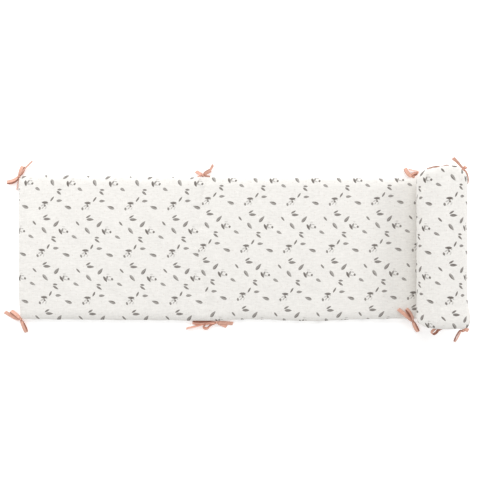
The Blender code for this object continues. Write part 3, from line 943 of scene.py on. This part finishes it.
def stroke_group(name, veined):
    """Ink of one mark of the print at a place: an oval, often egg-shaped, with veins if it is a leaf."""
    inputs = [(label, "NodeSocketVector") for label in ("Place", "Centre", "Size", "Direction")]
    inputs += [(label, "NodeSocketFloat") for label in ("Ink", "Pale side", "Blunt end", "Rough edge")]
    group, nodes, given, result = new_group(name, inputs, [("Ink", "NodeSocketFloat")])
    turned = nodes.add(
        "ShaderNodeMapping",
        {
            "Vector": nodes.from_mark(given.outputs["Place"], given.outputs["Centre"]),
            "Rotation": given.outputs["Direction"],
            "Scale": given.outputs["Size"],
        },
        vector_type="TEXTURE",
    ).outputs[0]
    split = nodes.add("ShaderNodeSeparateXYZ", {0: turned})
    along, aside = split.outputs[0], split.outputs[1]
    distance = nodes.math("ABSOLUTE", aside)
    girth = nodes.math("MULTIPLY_ADD", along, given.outputs["Blunt end"], 1.0)
    reach = nodes.math("DIVIDE", distance, nodes.math("MAXIMUM", girth, 0.1))
    reach = nodes.math("MULTIPLY_ADD", along, along, nodes.math("POWER", reach, MARK_POINT))
    reach = nodes.math("ADD", reach, given.outputs["Rough edge"])
    cover_share = nodes.mapped(reach, *MARK_FADE, 0.0, 1.0)
    tone = nodes.math("MULTIPLY_ADD", aside, given.outputs["Pale side"], given.outputs["Ink"])
    if veined:
        slanted = nodes.math("MULTIPLY", along, VEIN_SPACING)
        slanted = nodes.math("MULTIPLY_ADD", distance, VEIN_SLANT, slanted)
        veins = nodes.math("MULTIPLY_ADD", nodes.math("SINE", slanted), VEIN_DEPTH, VEIN_MEAN)
        midrib = nodes.mapped(distance, *MIDRIB_REACH, MIDRIB_TONE, 1.0)
        tone = nodes.math("MULTIPLY", tone, nodes.math("MULTIPLY", veins, midrib))
    ink = nodes.math("MULTIPLY", cover_share, tone)
    group.links.new(ink, result.inputs[0])
    return group


def print_group():
    """Ink and specks of the whole repeat at a place in millimetres."""
    outputs = [("Ink", "NodeSocketFloat"), ("Speck", "NodeSocketFloat")]
    group, nodes, given, result = new_group("print", [("Place", "NodeSocketVector")], outputs)
    where = given.outputs["Place"]
    fray = nodes.noise(where, FRAY_SCALE)
    total = None
    for shape, marks, frayed in (
        (stroke_group("leaf", True), LEAVES, LEAF_FRAY),
        (stroke_group("dab", False), BIRDS, BIRD_FRAY),
    ):
        rough = nodes.math("MULTIPLY_ADD", fray, frayed, -frayed / 2)
        for x, y, length, width, direction, ink, pale_side, blunt in marks:
            inputs = {
                "Place": where,
                "Centre": (x, y, 0.0),
                "Size": (length / 2, width / 2, 1.0),
                "Direction": (0.0, 0.0, math.radians(direction)),
                "Ink": ink,
                "Pale side": -pale_side,
                "Blunt end": blunt,
                "Rough edge": rough,
            }
            mark = nodes.add("ShaderNodeGroup", inputs, node_tree=shape).outputs[0]
            total = mark if total is None else nodes.math("MAXIMUM", total, mark)
    wear = nodes.mapped(nodes.noise(where, WEAR_SCALE, 1.0), *WEAR_RANGE, WORN_TONE, 1.0)
    group.links.new(nodes.math("MULTIPLY", total, wear), result.inputs[0])
    nearest = None
    for x, y in SPECKS:
        away = nodes.from_mark(where, (x, y, 0.0))
        far = nodes.add("ShaderNodeVectorMath", {0: away}, operation="LENGTH").outputs["Value"]
        nearest = far if nearest is None else nodes.math("MINIMUM", nearest, far)
    specks = nodes.mapped(nearest, *(SPECK_SIZE * share for share in SPECK_FADE), 1.0, 0.0)
    group.links.new(specks, result.inputs[1])
    return group


def gauze_group(printed):
    """Colour and height of the printed double gauze; places and the height are in millimetres."""
    inputs = [("Cloth", "NodeSocketVector"), ("Print", "NodeSocketVector"), ("Darkness", "NodeSocketFloat")]
    outputs = [("Colour", "NodeSocketColor"), ("Height", "NodeSocketFloat")]
    group, nodes, given, result = new_group("gauze", inputs, outputs)
    cloth = given.outputs["Cloth"]
    marks = nodes.add("ShaderNodeGroup", {"Place": given.outputs["Print"]}, node_tree=printed)
    split = nodes.add("ShaderNodeSeparateXYZ", {0: cloth})

    # Threads of the open weave, each way, with thicker slubs here and there
    wander = nodes.noise(cloth, THREAD_WANDER, 1.0)
    threads = []
    for way, close in ((split.outputs[0], WARP), (split.outputs[1], WEFT)):
        phase = nodes.math("MULTIPLY_ADD", wander, THREAD_SHIFT, nodes.math("MULTIPLY", way, close))
        threads.append(nodes.math("SINE", phase))
    weave = nodes.math("MULTIPLY", *threads)
    drawn_out = [nodes.vector("MULTIPLY", cloth, (*scales, 1.0)) for scales in SLUB_SCALES]
    slubs = nodes.math("ADD", *(nodes.noise(where, 1.0) for where in drawn_out))

    # Soft crinkles of the two layers, held together here and there
    crumpled = nodes.vector("MULTIPLY", cloth, (*CRINKLE_SCALES, 1.0))
    crinkle = nodes.noise(crumpled, 1.0, CRINKLE_DETAIL, CRINKLE_ROUGHNESS)

    tone = nodes.mapped(slubs, *SLUB_TONE)
    tone = nodes.math("MULTIPLY", tone, nodes.mapped(crinkle, *CRINKLE_TONE))
    tone = nodes.math("MULTIPLY", tone, nodes.mapped(weave, *WEAVE_TONE))
    # Stitching and painted shade along the outer sewn edges
    seam = nodes.add("ShaderNodeAttribute", attribute_name="seam_distance").outputs["Fac"]
    tone = nodes.math("MULTIPLY", tone, nodes.mapped(seam, *SEAM_STITCH_AND_SHADE_TONE, smooth=True))
    speck = nodes.math("MULTIPLY", marks.outputs["Speck"], SPECK_TONE)
    colour = nodes.mix(speck, nodes.scaled(CLOTH, tone), (*SPECK, 1.0))
    ink = nodes.math("MULTIPLY", marks.outputs["Ink"], given.outputs["Darkness"], clamp=True)
    group.links.new(nodes.mix(ink, colour, (*INK, 1.0)), result.inputs["Colour"])

    height = nodes.math("MULTIPLY", weave, WEAVE_HEIGHT)
    height = nodes.math("MULTIPLY_ADD", slubs, SLUB_HEIGHT, height)
    height = nodes.math("MULTIPLY_ADD", crinkle, CRINKLE_HEIGHT, height)
    group.links.new(height, result.inputs["Height"])
    return group


def gauze(name, cloth_group):
    """Printed gauze as it lies on one length of the cover."""
    lies = PANELS[name]
    made, nodes, shader = new_material(f"printed gauze {name.replace('_', ' ')}", GAUZE_FINISH)
    cloth, along, across = nodes.cloth_place()
    first_x, first_y = lies["first"]
    far = nodes.math("MULTIPLY_ADD", along, 1.0 / UNIT, -lies["middle"] / UNIT)
    side = nodes.math("MULTIPLY", across, 1.0 / UNIT)
    pulled = nodes.polynomial(side, (0.0, *lies["pull"]))
    pulled = nodes.math("MULTIPLY_ADD", nodes.polynomial(side, lies["growth"]), far, pulled)
    x = nodes.math("MULTIPLY_ADD", along, float(lies["reads"]), -first_x * lies["reads"])
    x = nodes.math("SUBTRACT", x, pulled)
    raised = nodes.polynomial(far, (0.0, *lies["raised"][:2]))
    raised = nodes.math("ADD", raised, nodes.polynomial(side, (0.0, *lies["raised"][2:])))
    raised = nodes.math("MULTIPLY_ADD", nodes.math("MULTIPLY", far, side), lies["twist"], raised)
    y = nodes.math("SUBTRACT", nodes.math("SUBTRACT", across, first_y), raised)
    print_place = nodes.add("ShaderNodeCombineXYZ", {0: x, 1: y}).outputs[0]
    given = {"Cloth": cloth, "Print": print_place, "Darkness": lies["dark"]}
    surface = nodes.add("ShaderNodeGroup", given, node_tree=cloth_group)
    link_surface(nodes, shader, surface.outputs["Colour"], surface.outputs["Height"])
    return made


def ribbon():
    """Soft woven ribbon: fine ribs across it, a firm edge, a slight sheen and painted shade in its pleats and
    loops.
    """
    made, nodes, shader = new_material("salmon ribbon", RIBBON_FINISH)
    cloth, along, across = nodes.cloth_place()
    ribs = nodes.math("SINE", nodes.math("MULTIPLY", along, RIBS))
    threads = nodes.math("SINE", nodes.math("MULTIPLY", across, THREADS))
    edge = nodes.mapped(nodes.math("ABSOLUTE", across), *FIRM_EDGE, 0.0, 1.0, smooth=True)
    tone = nodes.mapped(nodes.noise(cloth, PATCH_SCALE), *PATCH_TONE)
    tone = nodes.math("MULTIPLY", tone, nodes.mapped(ribs, *RIB_TONE))
    tone = nodes.math("MULTIPLY", tone, nodes.mapped(edge, *FIRM_EDGE_TONE))
    # Painted shade from the tie's mesh, mixed towards the ribbon's shade colour
    darkened = nodes.add("ShaderNodeAttribute", attribute_name="darkened").outputs["Fac"]
    shade_share = nodes.math("MULTIPLY", darkened, PAINTED_SHADE_SHARE)
    colour = nodes.mix(shade_share, nodes.scaled(SALMON, tone), (*SALMON_PAINTED_SHADE, 1.0))
    height = nodes.math("MULTIPLY_ADD", threads, THREAD_HEIGHT, nodes.math("MULTIPLY", ribs, RIB_HEIGHT))
    height = nodes.math("MULTIPLY_ADD", edge, FIRM_EDGE_HEIGHT, height)
    link_surface(nodes, shader, colour, height)
    return made


# Floor, light and camera


def build_camera():
    data = bpy.data.cameras.new("camera")
    data.lens = LENS
    data.sensor_width = SENSOR_WIDTH
    camera = bpy.data.objects.new("camera", data)
    camera.location = CAMERA_PLACE
    bpy.context.scene.collection.objects.link(camera)
    bpy.context.scene.camera = camera


def build_floor():
    made, _, _ = new_material("floor", FLOOR_FINISH)
    corners = [(FLOOR_HALF * x, FLOOR_HALF * y, -FLOOR_DROP) for x, y in ((-1, -1), (1, -1), (1, 1), (-1, 1))]
    new_object("floor", corners, [(0, 1, 2, 3)], [made])


def build_light():
    scene = bpy.context.scene
    scene.view_settings.view_transform = "Standard"
    scene.view_settings.look = "None"
    world = bpy.data.worlds.new("studio")
    world.use_nodes = True
    background = world.node_tree.nodes["Background"]
    background.inputs["Color"].default_value = WHITE
    background.inputs["Strength"].default_value = WORLD_LIGHT
    scene.world = world
    for name, spot, aim, size, power in LIGHTS:
        data = bpy.data.lights.new(name, "AREA")
        data.size = size
        data.energy = power
        made = bpy.data.objects.new(name, data)
        made.location = spot
        made.rotation_mode = "QUATERNION"
        made.rotation_quaternion = (Vector(aim) - Vector(spot)).to_track_quat("-Z", "Y")
        scene.collection.objects.link(made)


def main():
    build_camera()
    build_light()
    build_floor()
    cloth_group = gauze_group(print_group())
    build_cover([gauze(name, cloth_group) for name in PANELS])
    ribbon_made = ribbon()
    for name, run, side, bearing in TIES:
        build_tie(name, run, side, bearing, ribbon_made)


main()
